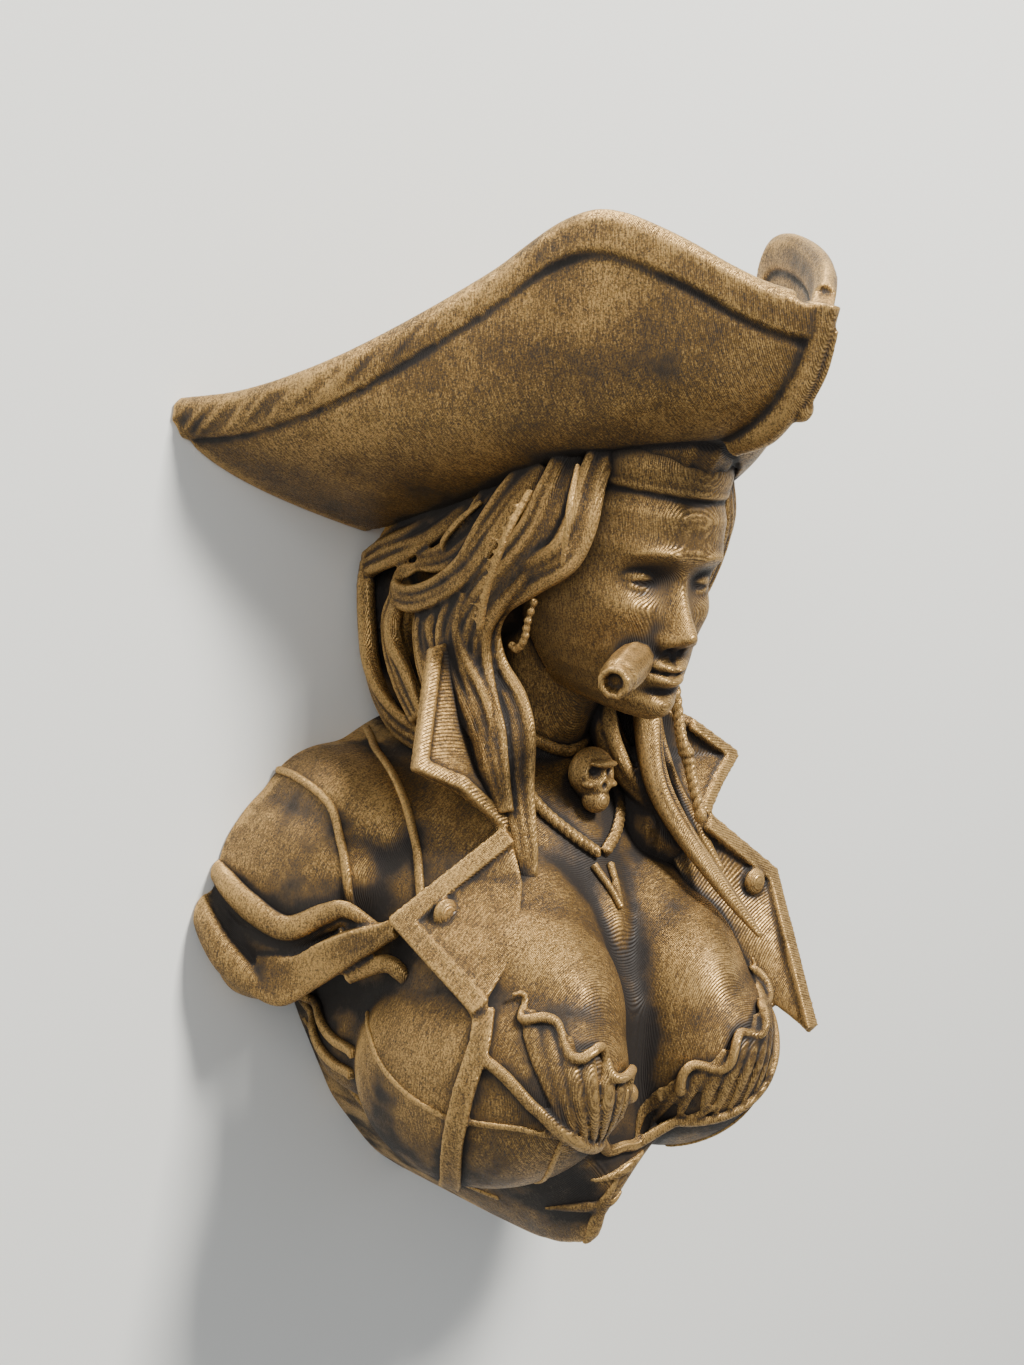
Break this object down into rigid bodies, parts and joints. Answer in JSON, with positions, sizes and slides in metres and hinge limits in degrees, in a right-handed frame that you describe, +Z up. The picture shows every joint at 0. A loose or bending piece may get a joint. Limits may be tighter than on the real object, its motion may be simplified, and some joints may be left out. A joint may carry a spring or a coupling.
{
  "type": "wall bust",
  "caption": "Wall-hung bust of a woman in pirate dress, with a tricorn hat, long hair, a collared coat and a cigar, cut flat at the back to hang on a wall.",
  "frame": {"origin": "on the flat back, in the wall plane, on the middle line a little above the shoulders", "axes": "the front of the bust faces -Y, the flat back faces +Y and lies in the plane y = 0, +Z is up and the near shoulder of the picture is towards -X"},
  "size_m": [0.1665, 0.1142, 0.24],
  "materials": {
    "bronzed_plastic": "dark brown print, dry-brushed with bronze on the raised parts"
  },
  "bodies": {
    "root": {"pirate_bust": "bronzed_plastic"}
  },
  "joints": []
}
